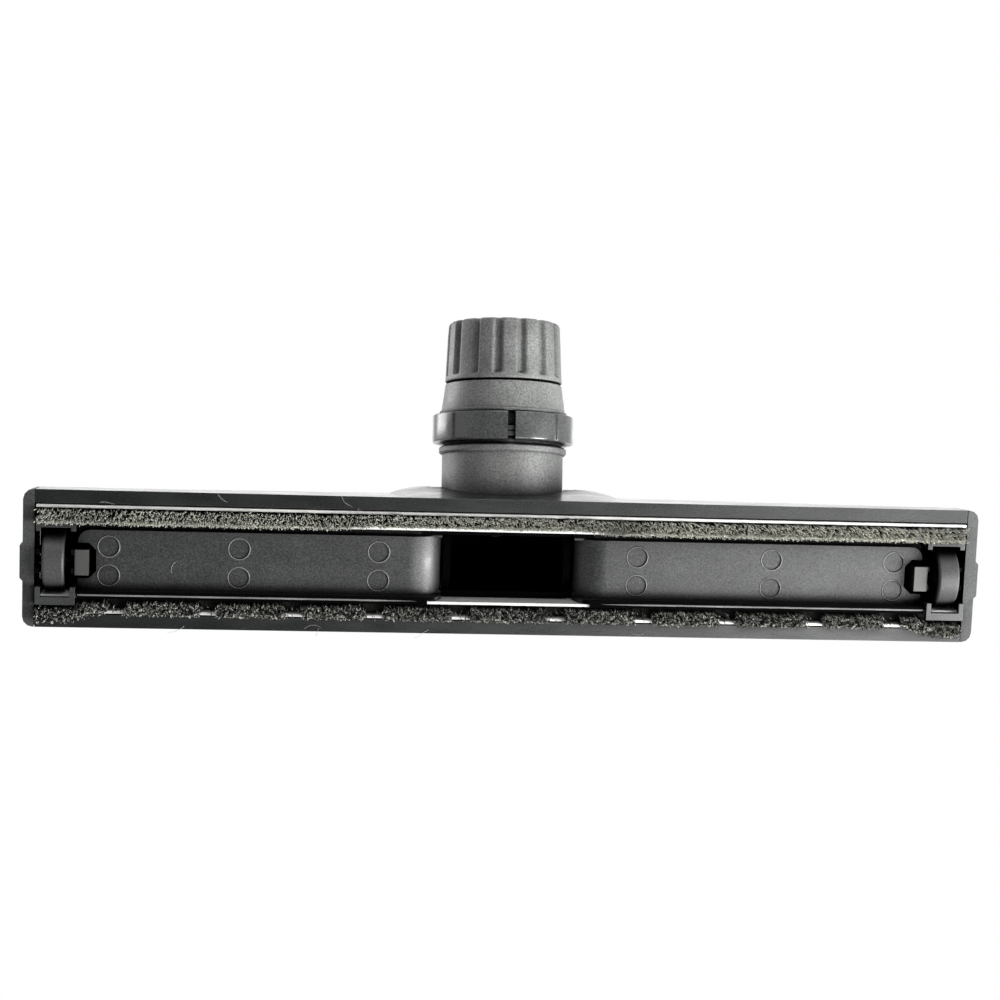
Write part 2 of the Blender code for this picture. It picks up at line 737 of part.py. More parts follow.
def make_bracket(name, side, finish):
    """A roof with four posts, a rear bar, a front bar under the rail and the block that holds the axle."""
    x = sorted((side * bracket_inner, side * bracket_outer))
    roof_low = (x[0], -half_bracket, bracket_top - BRACKET_SHEET)
    bracket = box(name, roof_low, (x[1], half_bracket, bracket_top), finish)
    inner_post = (bracket_inner, bracket_inner + BRACKET_POST)
    outer_post = (bracket_outer - BRACKET_POST, bracket_outer)
    post_top = bracket_top - BRACKET_SHEET / 2
    bar_low = RAIL_EDGE - GAP - FRONT_BAR_HEIGHT
    bar_rear = -half_channel - RAIL_SHEET / 2
    bar_front = bar_rear - FRONT_BAR_DEPTH
    front_post = (-half_bracket, BRACKET_POST_DEPTH - half_bracket)
    rear_post = (half_bracket - BRACKET_POST_DEPTH, half_bracket)
    whole = (bracket_inner, bracket_outer)
    for end, post in (("inner", inner_post), ("outer", outer_post)):
        arm = (bar_front + SINK, front_post[1])
        arm_top = bar_low + FRONT_BAR_HEIGHT
        join(
            bracket,
            mirrored_box(f"{name}_{end}_front", side, post, front_post, (arm_top - SINK, post_top)),
            mirrored_box(f"{name}_{end}_arm", side, post, arm, (bar_low, arm_top)),
            mirrored_box(f"{name}_{end}_rear", side, post, rear_post, (BRACKET_FOOT_HEIGHT, post_top)),
        )
    rear_bar = (half_bracket - BRACKET_REAR_BAR, half_bracket)
    rear_bar_top = BRACKET_FOOT_HEIGHT + BRACKET_REAR_BAR_HEIGHT
    half_block = AXLE_BLOCK_WIDTH / 2
    block_y = (CHANNEL_MIDDLE - half_block, CHANNEL_MIDDLE + half_block)
    block_x = (block_inner, bracket_inner + SINK)
    tooth_x = (bracket_inner - SINK, bracket_inner + TOOTH_LENGTH)
    join(
        bracket,
        mirrored_box(f"{name}_rear_bar", side, whole, rear_bar, (BRACKET_FOOT_HEIGHT, rear_bar_top)),
        mirrored_box(f"{name}_front_bar", side, whole, (bar_front, bar_rear), (bar_low, bar_low + FRONT_BAR_HEIGHT)),
        mirrored_box(f"{name}_block", side, block_x, block_y, (AXLE_BLOCK_HEIGHT, bracket_top)),
        *tooth_boxes(name, side, tooth_x),
    )
    hole_start = side * (block_inner + AXLE_BLOCK_LENGTH / 3 - GAP)
    start = (hole_start, CHANNEL_MIDDLE, axle_height)
    end = (side * (bracket_outer + REACH), CHANNEL_MIDDLE, axle_height)
    cut(bracket, rod(f"{name}_hole", AXLE_RADIUS + GAP, start, end, PIN_FACETS))


def make_end_cap(name, side, finish):
    """A cap over one end of the housing, with a bump outside that holds the axle's outer end."""
    shape = bmesh.new()
    low = (min(side * cap_inner, side * cap_outer), -half_depth, RIM_HEIGHT)
    high = (max(side * cap_inner, side * cap_outer), half_depth, end_top)
    add_box(shape, low, high)
    weight = shape.edges.layers.float.new("bevel_weight_edge")
    lean = (end_top - RIM_HEIGHT) * math.tan(SIDE_LEAN)
    for edge in shape.edges:
        outside = all(abs(vert.co.x) > cap_outer - SINK for vert in edge.verts)
        at_foot = all(vert.co.z < RIM_HEIGHT + SINK for vert in edge.verts)
        across_top = all(vert.co.z > end_top - SINK for vert in edge.verts) and not outside
        along = abs(edge.verts[0].co.x - edge.verts[1].co.x) > SINK
        edge[weight] = 0.0
        if outside and not at_foot:
            edge[weight] = CAP_ROUNDING / ROOF_ROUNDING
        if across_top and along:
            edge[weight] = 1.0
    for vert in shape.verts:
        if vert.co.z > end_top - SINK:
            vert.co.y -= math.copysign(lean, vert.co.y)
    cap = piece(name, mesh_of(name, shape), finish)
    round_edges(cap, ROOF_ROUNDING, 3)
    middle = CHANNEL_MIDDLE
    half = BUMP_WIDTH / 2
    slope = BUMP_THICKNESS
    outline = (
        (cap_outer - SINK, half),
        (cap_outer, half),
        (cap_outer + BUMP_THICKNESS, half - slope),
        (cap_outer + BUMP_THICKNESS, slope - half),
        (cap_outer, -half),
        (cap_outer - SINK, -half),
    )
    bump = prism(
        f"{name}_bump",
        [(side * x, middle + y, 0) for x, y in outline],
        (0, 0, RIM_HEIGHT),
        (0, 0, BUMP_HEIGHT),
    )
    tooth_x = (cap_inner + SINK, cap_inner - TOOTH_LENGTH)
    join(cap, bump, *tooth_boxes(name, side, tooth_x))
    start = (side * (cap_inner - REACH), middle, axle_height)
    end = (side * (cap_inner + AXLE_CAP_DEPTH + GAP), middle, axle_height)
    cut(cap, rod(f"{name}_hole", AXLE_RADIUS + GAP, start, end, PIN_FACETS))


def make_bush(name, side, finish):
    """A flanged bearing for one end of the drum, turned about the pivot."""
    bore = TRUNNION_RADIUS + RUNNING_GAP
    inner = half_drum + RUNNING_GAP
    shoulder = half_slot - GAP
    profile = [
        (bush_radius, bush_end),
        (bush_radius, shoulder),
        (BUSH_FLANGE_RADIUS, shoulder),
        (BUSH_FLANGE_RADIUS, inner),
        (bore, inner),
        (bore, bush_end),
    ]
    bush = turned(name, profile, finish)
    bush.location = (0, 0, pivot_height)
    bush.rotation_euler = (0, side * math.pi / 2, 0)


def neck_empty():
    """The neck's frame: its origin on the pivot, its Z along the neck at rest."""
    frame = bpy.data.objects.new("neck_frame", None)
    frame.location = (0, 0, pivot_height)
    frame.rotation_euler = (NECK_REST_ANGLE - math.pi / 2, 0, 0)
    parts.objects.link(frame)
    return frame


def make_neck_elbow(frame, finish):
    """A hollow drum with a tube on it, a window in its underside and a trunnion at each end."""
    bead_end = NECK_BEAD_START + NECK_BEAD_LENGTH
    soft = BEAD_STAND / 2
    profile = [
        (spigot_radius, spigot_end),
        (spigot_radius, flange_end),
        (flange_radius, flange_end),
        (flange_radius, flange_start),
        (groove_radius, flange_start),
        (groove_radius, bead_end),
        (bead_radius - soft, bead_end),
        (bead_radius, bead_end - soft),
        (bead_radius, NECK_BEAD_START + soft),
        (bead_radius - soft, NECK_BEAD_START),
        (neck_radius, NECK_BEAD_START),
        (neck_radius, NECK_SHOULDER),
        (neck_start_radius, NECK_START),
        (spigot_bore_radius / 2, NECK_START),
        (spigot_bore_radius / 2, spigot_end),
    ]
    elbow = turned("neck_elbow", profile, finish)
    ends = ((-half_drum, 0, 0), (half_drum, 0, 0))
    drum = rod("drum", drum_radius, *ends, RING_FACETS)
    trunnion_end = bush_end - GAP
    trunnions = rod("trunnions", TRUNNION_RADIUS, (-trunnion_end, 0, 0), (trunnion_end, 0, 0), RING_FACETS)
    half_room = half_drum - DRUM_SHEET
    room = rod("drum_room", drum_radius - DRUM_SHEET, (-half_room, 0, 0), (half_room, 0, 0), RING_FACETS)
    step = SWIVEL_START - SINK
    bore = rod("neck_bore", neck_bore_radius, (0, 0, 0), (0, 0, step), RING_FACETS)
    spigot_bore = rod("spigot_bore", spigot_bore_radius, (0, 0, step - REACH), (0, 0, spigot_end + REACH), RING_FACETS)
    wedge = [(0, 0)] + arc((0, 0), 2 * drum_radius, WINDOW_START, WINDOW_END, ROLL_FACETS)
    half_window = half_room - SINK
    window = prism(
        "drum_window",
        [(0, -across, along) for along, across in wedge],
        (-half_window, 0, 0),
        (2 * half_window, 0, 0),
    )
    for shape in (elbow, drum, trunnions, room, bore, spigot_bore, window):
        shape.parent = frame
    join(elbow, drum, trunnions)
    cut(elbow, room, bore, spigot_bore, window)


def make_swivel_seal(frame, finish):
    inner = spigot_radius + GAP
    outer = inner + SEAL_SHEET
    end = seal_start + SEAL_LENGTH
    seal = turned("swivel_seal", [(outer, end), (outer, seal_start), (inner, seal_start), (inner, end)], finish)
    seal.parent = frame


def make_clip_ring(frame, finish):
    """A split ring that holds the flange of the neck and the flange of the sleeve together."""
    soft = CLIP_ROUNDING
    room = flange_radius + RUNNING_GAP
    lip_end = SWIVEL_START + CLIP_LIP
    upper_lip = sleeve_flange_end + RUNNING_GAP
    profile = [
        (clip_radius - soft, clip_end),
        (clip_radius, clip_end - soft),
        (clip_radius, SWIVEL_START + soft),
        (clip_radius - soft, SWIVEL_START),
        (groove_radius + RUNNING_GAP, SWIVEL_START),
        (groove_radius + RUNNING_GAP, lip_end),
        (room, lip_end),
        (room, upper_lip),
        (sleeve_neck_radius + RUNNING_GAP, upper_lip),
        (sleeve_neck_radius + RUNNING_GAP, clip_end),
    ]
    ring = turned("clip_ring", profile, finish)
    low = (-CLIP_SLOT / 2, 0, SWIVEL_START - REACH)
    slot = box("clip_slot", low, (CLIP_SLOT / 2, 2 * clip_radius, clip_end + REACH))
    slot.rotation_euler = (0, 0, CLIP_SLOT_ANGLE)
    ring.parent = frame
    slot.parent = frame
    cut(ring, slot)


def make_swivel_sleeve(frame, finish):
    """The turning socket: a flange under the clip ring, a cone, and the threaded end that the nut runs on."""
    bead_start = clip_end + GAP
    soft = SLEEVE_BEAD_LENGTH / 4
    stop_end = cone_start
    stop_start = stop_end - TUBE_STOP_LENGTH
    profile = [
        (thread_radius, thread_end),
        (thread_radius, cone_end),
        (cone_end_radius, cone_end),
        (bead_radius - SLEEVE_BEAD_STAND, cone_start),
        (bead_radius - soft, cone_start),
        (bead_radius, cone_start - soft),
        (bead_radius, bead_start),
        (sleeve_neck_radius, bead_start),
        (sleeve_neck_radius, sleeve_flange_end),
        (flange_radius, sleeve_flange_end),
        (flange_radius, sleeve_start),
        (seal_room, sleeve_start),
        (seal_room, stop_start),
        (tube_stop_radius, stop_start),
        (tube_stop_radius, stop_end),
        (SOCKET_RADIUS, stop_end),
        (SOCKET_RADIUS, thread_end),
    ]
    sleeve = turned("swivel_sleeve", profile, finish)
    sleeve.parent = frame


def make_collet(frame, finish):
    """A split ring with a tapered outside that the nut squeezes on to the tube."""
    profile = [
        (collet_end_radius, collet_end),
        (collet_radius, collet_start),
        (SOCKET_RADIUS, collet_start),
        (SOCKET_RADIUS, collet_end),
    ]
    collet = turned("collet", profile, finish)
    low = (-COLLET_SLIT / 2, -2 * collet_radius, collet_start - REACH)
    slit = box("collet_slit", low, (COLLET_SLIT / 2, 0, collet_end + REACH))
    collet.parent = frame
    slit.parent = frame
    cut(collet, slit)


def make_clamp_nut(frame, finish):
    """A fluted nut with a smooth bead at its foot."""
    bead_top = nut_start + NUT_BEAD_LENGTH
    room = thread_radius + GAP
    seat_gap = RUNNING_GAP / math.cos(math.pi / RING_FACETS)
    shoulder_turn = arc(
        (nut_end_radius - NUT_ROUNDING, nut_end - NUT_ROUNDING), NUT_ROUNDING, math.pi / 2, 0, 3
    )
    profile = shoulder_turn + [
        (nut_radius, nut_start),
        (room, nut_start),
        (room, collet_start - RUNNING_GAP),
        (collet_radius + seat_gap, collet_start),
        (collet_end_radius + seat_gap, nut_seat),
        (SOCKET_RADIUS + seat_gap, nut_seat),
        (SOCKET_RADIUS + seat_gap, nut_end),
    ]
    nut = turned("clamp_nut", profile, finish)
    nut.parent = frame
    shape = bmesh.new()
    groove = NUT_GROOVE_SHARE * 2 * math.pi * nut_radius / NUT_GRIPS / 2
    for number in range(NUT_GRIPS):
        turn = Matrix.Rotation(NUT_TURN + 2 * math.pi * number / NUT_GRIPS, 4, "Z")
        tilt = math.atan((nut_radius - nut_end_radius) / (nut_end - nut_start))
        lean = Matrix.Rotation(-tilt, 4, "Y")
        foot = Matrix.Translation((nut_radius - NUT_GROOVE_DEPTH, 0, bead_top))
        size = Vector((2 * REACH, 2 * groove, 2 * (nut_end - bead_top)))
        place = turn @ foot @ lean @ Matrix.Translation((REACH, 0, size.z / 2)) @ Matrix.Diagonal((*size, 1))
        bmesh.ops.create_cube(shape, size=1, matrix=place)
    grooves = piece("nut_grooves", mesh_of("nut_grooves", shape), None)
    grooves.parent = frame
    cut(nut, grooves)


def shade_round_pieces():
    for obj in parts.objects:
        if obj.type == "MESH":
            obj.data.shade_smooth()
            obj.data.set_sharp_from_angle(angle=math.radians(35))


def centre_on_floor():
    """Moves the whole tool along Y so that the origin lies under the middle of its bounding box."""
    bpy.context.view_layer.update()
    graph = bpy.context.evaluated_depsgraph_get()
    reach = []
    for obj in parts.objects:
        if obj.type == "MESH":
            solid = obj.evaluated_get(graph)
            reach += [(solid.matrix_world @ vert.co).y for vert in solid.data.vertices]
    middle = (min(reach) + max(reach)) / 2
    for obj in [*parts.objects, *cutters.objects]:
        if obj.parent is None:
            obj.location.y -= middle


def main():
    clear_scene()
    black = (0.035, 0.037, 0.037)
    shell = finish_of("black_plastic", black, 0.55)
    plate = finish_of("sole_plastic", (0.045, 0.048, 0.047), 0.5)
    grey = finish_of("dark_grey_plastic", (0.07, 0.072, 0.071), 0.5)
    glossy = finish_of("glossy_black_plastic", (0.03, 0.032, 0.032), 0.25)
    metal = finish_of("aluminium", (0.83, 0.83, 0.82), 0.3, 1.0)
    steel = finish_of("axle_steel", (0.45, 0.45, 0.45), 0.35, 1.0)
    bristle = finish_of("bristle", (0.03, 0.03, 0.028), 0.85)
    rubber = finish_of("seal_rubber", (0.02, 0.02, 0.02), 0.8)
    make_housing(shell)
    make_sole_plate(plate)
    for name, side in (("rear", 1), ("front", -1)):
        make_rail(f"{name}_rail", side, metal)
        make_brush(f"{name}_brush", side, bristle)
    for name, side in (("left", 1), ("right", -1)):
        make_wheel(f"{name}_wheel", side, shell)
        make_axle(f"{name}_axle", side, steel)
        make_bracket(f"{name}_wheel_bracket", side, plate)
        make_end_cap(f"{name}_end_cap", side, grey)
        make_bush(f"{name}_pivot_bush", side, grey)
    frame = neck_empty()
    make_neck_elbow(frame, grey)
    make_swivel_seal(frame, rubber)
    make_clip_ring(frame, glossy)
    make_swivel_sleeve(frame, grey)
    make_collet(frame, plate)
    make_clamp_nut(frame, grey)
    shade_round_pieces()
    centre_on_floor()


main()
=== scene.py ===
"""Looks of the vacuum floor tool: its finishes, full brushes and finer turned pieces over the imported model."""

import json
import math
import random

import bmesh
import bpy
from mathutils import Matrix, Vector


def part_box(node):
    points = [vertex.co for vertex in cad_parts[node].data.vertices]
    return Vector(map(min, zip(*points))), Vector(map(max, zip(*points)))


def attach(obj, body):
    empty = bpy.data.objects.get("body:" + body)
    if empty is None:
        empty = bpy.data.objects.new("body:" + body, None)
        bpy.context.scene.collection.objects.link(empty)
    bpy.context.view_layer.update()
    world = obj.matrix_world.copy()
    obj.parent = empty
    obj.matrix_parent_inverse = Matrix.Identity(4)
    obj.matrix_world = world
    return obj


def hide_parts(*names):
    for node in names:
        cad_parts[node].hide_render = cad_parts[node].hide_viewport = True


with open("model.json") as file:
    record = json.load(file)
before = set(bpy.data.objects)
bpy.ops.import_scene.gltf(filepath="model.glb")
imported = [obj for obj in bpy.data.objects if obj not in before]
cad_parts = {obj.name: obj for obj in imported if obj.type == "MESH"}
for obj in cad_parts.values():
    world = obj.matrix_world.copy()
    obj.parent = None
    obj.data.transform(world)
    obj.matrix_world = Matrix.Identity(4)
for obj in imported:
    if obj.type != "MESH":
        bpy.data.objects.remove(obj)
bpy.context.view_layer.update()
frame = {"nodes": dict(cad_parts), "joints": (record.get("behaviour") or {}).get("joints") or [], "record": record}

# Camera, found from the photograph. It looks up at the sole from below and a little behind.
CAMERA_PLACE = Vector((0.10527, 0.11137, -0.89542))
CAMERA_YAW = -0.1106
CAMERA_PITCH = -0.1317
CAMERA_ROLL = 0.0379
CAMERA_LENS = 79.2
SENSOR = 36.0

# The neck's own frame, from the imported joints: Z runs along the tube and Y faces down
JOINTS = {joint["name"]: joint for joint in frame["joints"]}
PIVOT = Vector(JOINTS["neck_tilt"]["pos_m"])
NECK_Z = Vector(JOINTS["neck_swivel"]["axis"]).normalized()
NECK_X = Vector((1, 0, 0))
NECK_Y = NECK_Z.cross(NECK_X)
MIDDLE_Y = PIVOT.y

# Brushes, in metres. Y is from the rail's middle, and a lean or a splay is toward the front.
BRUSH_SEED = 7
STRANDS = 9000
STRAND_WIDTH = 0.0004
STRAND_TAPER = 0.75
BACKING_LOW = 0.0091
BACKING_HALF = 0.0022
BRUSH_INSET = 0.0006
ROOT_HALF = 0.0021
ROOT_SINK = 0.0004
TIP_HALF = 0.0025
TIP_LOW = 0.0001
TIP_STRAY_X = 0.0008
TIP_STRAY_Y = 0.0003
TIP_STRAY_Z = 0.0009
BOW_STRAY = 0.0003
FRONT_ROW_SHARE = 0.3
FRONT_ROW_BAND = 0.35
FRONT_LEAN = 0.0015
REAR_LEAN = 0.0013
LEAN_LEFT = (0.055, 0.075)
LEAN_RIGHT = (0.028, 0.045)
SPLAY_RANGE = (0.160, 0.186)
SPLAY_REACH = 0.0055
SPLAY_SHIFT = 0.0006
TUCK_START = 0.1775
TUCK_Y = -0.0012
TUCK_HALF = 0.0009
GAP_CLEARED = 0.96
GAP_PITCH = 0.03627
GAP_WIDTH = 0.0078
GAP_SHIFTS = (-0.0011, -0.0037, -0.0020, -0.0026, -0.0019, 0.0022, 0.0016, -0.0013, -0.0026, -0.0019)

# Loose fibres
LINT_SEED = 3
LINT_STEPS = 7
LINT_STEP = 0.0011
LINT_BEND = 0.3
LINT_REACH = 0.0018
LINT_WIDTH = 0.0002
LINT_TAPER = 0.6
RIM_LINT_LOW = 0.0047
REAR_LINT = 6
FRONT_LINT = 5
SOLE_LINT = (0.140, -0.006, 0.0102)

# Small shapes on a solid start this far inside it
SEAT = 0.00003

# Round mould marks on the sole
SOLE_LOW = 0.0105
MARK_HALF = 0.00032
MARK_HEIGHT = 0.00025
MARK_RADIUS = 0.00445
MARK_PLACES = (0.1657, 0.1124, 0.0546)
MARK_ROWS = (0.00455, -0.00755)

# Roll of the sole plate into the mouth
SHOULDER_START = 0.0418
SHOULDER_REACH = 0.0140
SHOULDER_LAP = 0.001
SHOULDER_RISE = 0.0100
SHOULDER_FRONT = -0.0131
SHOULDER_REAR = 0.0112
SHOULDER_SKIN = 0.00006
SHOULDER_SHEET = 0.0003

# Walls under the neck's collar and the humps beside it, Y from the pivot
RIM_HALF = 0.0285
WALL_TOP_Y = 0.02725
COLLAR_HALF = 0.0315
COLLAR_FOOT = 0.0185
HUMP_END = 0.0445
HUMP_FOOT = 0.0201
HUMP_LENGTH = 0.0220
HUMP_DROP = 0.22
GUSSET_FOOT = 0.0052
GUSSET_DEPTH = 0.002

# Bead on the sole's front rib, whose pale finish paints the rib's highlight line
RIB_BEAD_START = 0.038
RIB_BEAD_RUN = 0.02
RIB_BEAD_END = 0.0005
RIB_BEAD_Y = 0.00145
RIB_BEAD_HALF = 0.00042
RIB_BEAD_HEIGHT = 0.0003

# Where each mask of the finishes starts and ends; the first five paint black shade on the sole's rib, in its mouth
# and behind its shoulders. Y and Z of the drum's, and MOUTH_REAR, are from the pivot.
RIB_TOP = (0.0045, 0.0055)
MOUTH_DEPTH = (0.0172, 0.0195)
MOUTH_SIDE = (0.0279, 0.0281)
MOUTH_REAR = (0.0115, 0.0119)
SHOULDER_SIDE = (0.036, 0.037)
# The next four paint black shade inside the neck's drum and on its underside
DRUM_SKIN = (0.0255, 0.0262)
DRUM_BORE = (0.0238, 0.0244)
DRUM_REAR = (0.012, 0.017)
DRUM_UNDERSIDE = (-0.008, -0.002)
# The next two make the axle blocks paler than their frames
BLOCK_END = (0.1784, 0.1788)
BLOCK_PALE = 0.3
TIP_DUST = (0.0014, 0.0055)

# Colours, linear
NECK_GREY = (0.2, 0.206, 0.201)
SOLE_GREY = (0.035, 0.0395, 0.0377)
DUST_GREY = (0.16, 0.16, 0.145)
WORN_GREY = (0.2, 0.2, 0.19)
# Near black for painted shade: in hollows, in the mouth and in the neck's drum
PAINTED_SHADE_BLACK = (0.003, 0.003, 0.003)

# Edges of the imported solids
SOFT_EDGE = 0.0003
CRISP_ANGLE = 32
BEVEL_ANGLE = 34
FLAT_ANGLE = 0.6
CORNER_GAP = 0.00002


def link(obj):
    bpy.context.scene.collection.objects.link(obj)
    return obj


def make_camera():
    camera = link(bpy.data.objects.new("camera", bpy.data.cameras.new("camera")))
    camera.data.lens = CAMERA_LENS
    camera.data.sensor_width = SENSOR
    facing_up = Matrix.Diagonal((-1, 1, -1))
    turn = Matrix.Rotation(CAMERA_YAW, 3, "Y") @ Matrix.Rotation(CAMERA_PITCH, 3, "X")
    turn = facing_up @ turn @ Matrix.Rotation(CAMERA_ROLL, 3, "Z")
    camera.matrix_world = Matrix.Translation(CAMERA_PLACE) @ turn.to_4x4()
    bpy.context.scene.camera = camera


def add_lamp(name, place, target, size, power):
    lamp = bpy.data.lights.new(name, "AREA")
    lamp.shape = "SQUARE"
    lamp.size = size
    lamp.energy = power
    obj = link(bpy.data.objects.new(name, lamp))
    obj.location = place
    obj.rotation_euler = (Vector(target) - Vector(place)).to_track_quat("-Z", "Y").to_euler()


def make_lights():
    add_lamp("key_below", (-0.52, -0.43, -1.12), (-0.1, -0.03, 0), 0.5, 7.5)
    add_lamp("side_right", (-0.80, -0.20, -0.50), (0, -0.03, 0.02), 0.4, 17.5)
    add_lamp("rim_left", (0.65, 0.15, 0.52), (0, 0, 0.04), 0.4, 3.5)
    add_lamp("rear_below", (0.1, 0.85, -0.45), (0, -0.02, 0.02), 0.4, 2)
    add_lamp("fill_above", (-0.15, -0.15, 1.2), (0, 0, 0.02), 1.0, 3)
    add_lamp("rear_above", (-0.3, 1.1, 0.5), (0, 0, 0.02), 0.8, 5)


def make_world():
    """White where it is seen or mirrored, dim straight below, and an even soft light otherwise."""
    world = bpy.data.worlds.new("studio")
    bpy.context.scene.world = world
    world.use_nodes = True
    tree = world.node_tree
    shader = tree.nodes["Background"]
    path = tree.nodes.new("ShaderNodeLightPath").outputs
    place = tree.nodes.new("ShaderNodeTexCoord")
    split = tree.nodes.new("ShaderNodeSeparateXYZ")
    tree.links.new(place.outputs["Generated"], split.inputs[0])
    bright = spread(tree, split.outputs["Z"], 0.05, 1, -0.8, -0.3)
    mirrored = maths(tree, "MULTIPLY", path["Is Glossy Ray"], bright)
    seen = maths(tree, "MAXIMUM", path["Is Camera Ray"], mirrored)
    through = maths(tree, "MAXIMUM", seen, path["Is Transmission Ray"])
    tree.links.new(spread(tree, through, 0.12, 1, 0, 1), shader.inputs["Strength"])
    shader.inputs["Color"].default_value = (1, 1, 1, 1)


def make_floor():
    """A pale floor that shows from above. Seen from below, as in the photograph, it lets everything through."""
    shape = bmesh.new()
    bmesh.ops.create_grid(shape, x_segments=1, y_segments=1, size=4)
    mesh = bpy.data.meshes.new("floor")
    shape.to_mesh(mesh)
    shape.free()
    floor = link(bpy.data.objects.new("floor", mesh))
    floor.visible_diffuse = False
    floor.visible_glossy = False
    floor.visible_transmission = False
    floor.visible_shadow = False
    material, tree, shader = new_material("floor")
    path = tree.nodes.new("ShaderNodeLightPath")
    side = tree.nodes.new("ShaderNodeNewGeometry")
    shown = maths(tree, "SUBTRACT", path.outputs["Is Camera Ray"], side.outputs["Backfacing"], clamp=True)
    mix = tree.nodes.new("ShaderNodeMixShader")
    clear = tree.nodes.new("ShaderNodeBsdfTransparent")
    tree.links.new(shown, mix.inputs[0])
    tree.links.new(clear.outputs[0], mix.inputs[1])
    tree.links.new(shader.outputs[0], mix.inputs[2])
    tree.links.new(mix.outputs[0], tree.nodes["Material Output"].inputs["Surface"])
    shader.inputs["Base Color"].default_value = (0.86, 0.86, 0.85, 1)
    shader.inputs["Roughness"].default_value = 0.9
    mesh.materials.append(material)


def noise(tree, scale, detail, stretch=(1, 1, 1), turn=(0, 0, 0)):
    """Noise in object space, its scale in features per metre."""
    place = tree.nodes.new("ShaderNodeTexCoord")
    mapping = tree.nodes.new("ShaderNodeMapping")
    mapping.inputs["Scale"].default_value = stretch
    mapping.inputs["Rotation"].default_value = turn
    texture = tree.nodes.new("ShaderNodeTexNoise")
    texture.inputs["Scale"].default_value = scale
    texture.inputs["Detail"].default_value = detail
    tree.links.new(place.outputs["Object"], mapping.inputs["Vector"])
    tree.links.new(mapping.outputs["Vector"], texture.inputs["Vector"])
    return texture.outputs["Fac"]


def ramp(tree, value, stops):
    """Maps a value on to colours. Stops hold (place, colour)."""
    node = tree.nodes.new("ShaderNodeValToRGB")
    first, last = node.color_ramp.elements
    first.position, last.position = stops[0][0], stops[-1][0]
    first.color, last.color = (*stops[0][1], 1), (*stops[-1][1], 1)
    for position, colour in stops[1:-1]:
        node.color_ramp.elements.new(position).color = (*colour, 1)
    tree.links.new(value, node.inputs["Fac"])
    return node.outputs["Color"]


def spread(tree, value, low, high, start=0.3, end=0.7):
    """Maps a value from start to end on to low to high."""
    node = tree.nodes.new("ShaderNodeMapRange")
    node.inputs["From Min"].default_value = start
    node.inputs["From Max"].default_value = end
    node.inputs["To Min"].default_value = low
    node.inputs["To Max"].default_value = high
    tree.links.new(value, node.inputs["Value"])
    return node.outputs["Result"]


def maths(tree, operation, first, second=None, clamp=False):
    node = tree.nodes.new("ShaderNodeMath")
    node.operation = operation
    node.use_clamp = clamp
    tree.links.new(first, node.inputs[0])
    if second is not None:
        tree.links.new(second, node.inputs[1])
    return node.outputs[0]


def product(tree, first, second):
    return maths(tree, "MULTIPLY", first, second)


def total(tree, first, second):
    return maths(tree, "ADD", first, second, clamp=True)


def blend_in(tree, share, under, colour):
    """Lays one colour over another by a share from 0 to 1."""
    node = tree.nodes.new("ShaderNodeMix")
    node.data_type = "RGBA"
    tree.links.new(share, node.inputs["Factor"])
    tree.links.new(under, node.inputs[6])
    node.inputs[7].default_value = (*colour, 1)
    return node.outputs[2]


def bump(tree, shader, height, distance, strength):
    node = tree.nodes.new("ShaderNodeBump")
    node.inputs["Distance"].default_value = distance
    node.inputs["Strength"].default_value = strength
    tree.links.new(height, node.inputs["Height"])
    tree.links.new(node.outputs["Normal"], shader.inputs["Normal"])


def new_material(name):
    material = bpy.data.materials.new(name)
    material.use_nodes = True
    return material, material.node_tree, material.node_tree.nodes["Principled BSDF"]


def worn_edges(tree, radius):
    """1 on the edges of a solid and 0 on its faces."""
    turned_normal = tree.nodes.new("ShaderNodeBevel")
    turned_normal.samples = 4
    turned_normal.inputs["Radius"].default_value = radius
    face = tree.nodes.new("ShaderNodeNewGeometry")
    match = tree.nodes.new("ShaderNodeVectorMath")
    match.operation = "DOT_PRODUCT"
    tree.links.new(turned_normal.outputs["Normal"], match.inputs[0])
    tree.links.new(face.outputs["Normal"], match.inputs[1])
    return spread(tree, match.outputs["Value"], 1, 0, 0.75, 0.97)


def place_axes(tree):
    """Object-space X, Y and Z."""
    place = tree.nodes.new("ShaderNodeTexCoord")
    split = tree.nodes.new("ShaderNodeSeparateXYZ")
    tree.links.new(place.outputs["Object"], split.inputs[0])
    return split.outputs


def off_middle(tree):
    """Distance from the middle of the tool, along X."""
    return maths(tree, "ABSOLUTE", place_axes(tree)["X"])


def paler_block(tree):
    """A share of a paler grey on a wheel bracket's axle block, and none on its frame."""
    return spread(tree, off_middle(tree), BLOCK_PALE, 0, *BLOCK_END)


def mouth_painted_shade(tree):
    """Painted black shade: 1 on the sole plate's front rib, beside its shoulders and in the mouth, and 0 on its
    panels.
    """
    place = place_axes(tree)
    width = off_middle(tree)
    low = spread(tree, place["Z"], 1, 0, *RIB_TOP)
    deep = spread(tree, place["Z"], 0, 1, *MOUTH_DEPTH)
    within = spread(tree, width, 1, 0, *MOUTH_SIDE)
    behind = spread(tree, place["Y"], 0, 1, *(MIDDLE_Y + y for y in MOUTH_REAR))
    beside = product(tree, behind, spread(tree, width, 1, 0, *SHOULDER_SIDE))
    return total(tree, total(tree, low, deep), total(tree, within, beside))


